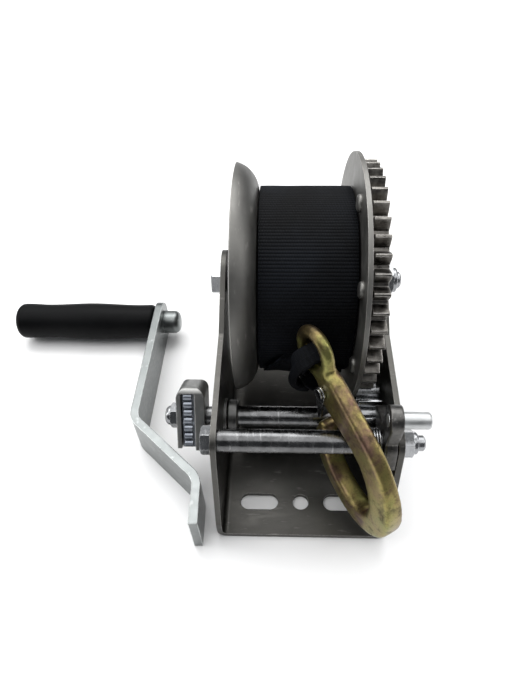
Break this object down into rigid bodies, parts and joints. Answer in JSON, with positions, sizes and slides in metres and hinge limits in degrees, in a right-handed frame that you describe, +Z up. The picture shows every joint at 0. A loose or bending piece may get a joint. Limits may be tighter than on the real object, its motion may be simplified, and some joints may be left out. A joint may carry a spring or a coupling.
{
  "type": "boat trailer winch",
  "caption": "Hand-cranked geared trailer winch with a webbing strap on a flanged drum, a snap hook, a two-way pawl and a take-off crank.",
  "frame": {"origin": "centre of the middle mounting hole, on the underside of the base", "axes": "+X along the drum towards the gear side, +Y to the back, +Z up from the mounting surface"},
  "size_m": [0.2712, 0.2117, 0.1606],
  "materials": {
    "frame_plate": "satin, dark zinc",
    "steel_bush": "dull",
    "zinc_bolt": "bright zinc",
    "zinc_tube": "bright zinc",
    "zinc_gear": "dull zinc",
    "raw_gear_steel": "raw, punched",
    "black_nylon": "matte",
    "black_webbing": "woven",
    "bracket_steel": "satin",
    "bracket_strip": "satin, blue-grey",
    "cast_pawl": "cast, zinc plated",
    "hook_chromate": "yellow chromate",
    "crank_zinc": "bright zinc",
    "black_grip": "fine grain"
  },
  "bodies": {
    "frame": {"frame": "frame_plate", "shaft_bushes": "steel_bush", "tie_bolt": "zinc_bolt", "tie_nut": "zinc_bolt", "tie_tube": "zinc_tube", "drum_bolt": "zinc_bolt", "drum_nut": "zinc_bolt", "drum_sleeve": "zinc_tube"},
    "drum": {"drum_core": "frame_plate", "drum_bushes": "black_nylon", "left_flange": "frame_plate", "right_flange": "frame_plate", "gear_rivets": "frame_plate", "ring_gear": "raw_gear_steel", "strap_pin": "zinc_bolt", "wound_strap": "black_webbing"},
    "crank_shaft": {"crank_shaft": "zinc_tube", "drive_pinion": "zinc_gear", "shaft_collar": "zinc_tube", "retaining_ring": "zinc_bolt", "crank_bracket": "bracket_steel", "serrated_strip": "bracket_strip", "shaft_nut": "zinc_bolt"},
    "pawl": {"pawl": "cast_pawl", "pawl_finger_pin": "zinc_tube", "pawl_spring": "zinc_bolt"},
    "hook": {"hook": "hook_chromate", "latch_rivet": "zinc_bolt", "strap_tail": "black_webbing"},
    "latch": {"safety_latch": "zinc_bolt"},
    "crank": {"crank_arm": "crank_zinc", "crank_spindle": "crank_zinc"},
    "grip": {"crank_grip": "black_grip"}
  },
  "joints": [
    {"name": "drum_spin", "type": "hinge", "parent": "frame", "child": "drum", "pos_m": [0, 0.10324, 0.08814], "axis": [1, 0, 0], "continuous": true},
    {"name": "shaft_spin", "type": "hinge", "parent": "frame", "child": "crank_shaft", "pos_m": [0, 0.034, 0.043], "axis": [1, 0, 0], "continuous": true},
    {"name": "pawl_swing", "type": "hinge", "parent": "frame", "child": "pawl", "pos_m": [0.0414, 0.0035, 0.066], "axis": [1, 0, 0], "range_deg": [-5.5, 5.5]},
    {"name": "hook_slide", "type": "slide", "parent": "frame", "child": "hook", "axis": [1, 0, 0], "range_m": [-0.012, 0], "deforming": ["strap_tail"]},
    {"name": "latch_swing", "type": "hinge", "parent": "hook", "child": "latch", "pos_m": [0.01091, 0.01979, 0.089], "axis": [0.8572, 0.515, 0], "range_deg": [0, 20], "stiffness_Nm_per_rad": 0.02, "springref_deg": -11.46},
    {"name": "crank_draw_off", "type": "slide", "parent": "frame", "child": "crank", "axis": [-1, 0, 0], "range_m": [0, 0.08]},
    {"name": "grip_spin", "type": "hinge", "parent": "crank", "child": "grip", "pos_m": [-0.159, 0.138, 0.0155], "axis": [1, 0, 0], "continuous": true}
  ],
  "couplings": [
    {"joint": "shaft_spin", "follows": "drum_spin", "ratio": -3.8333}
  ]
}
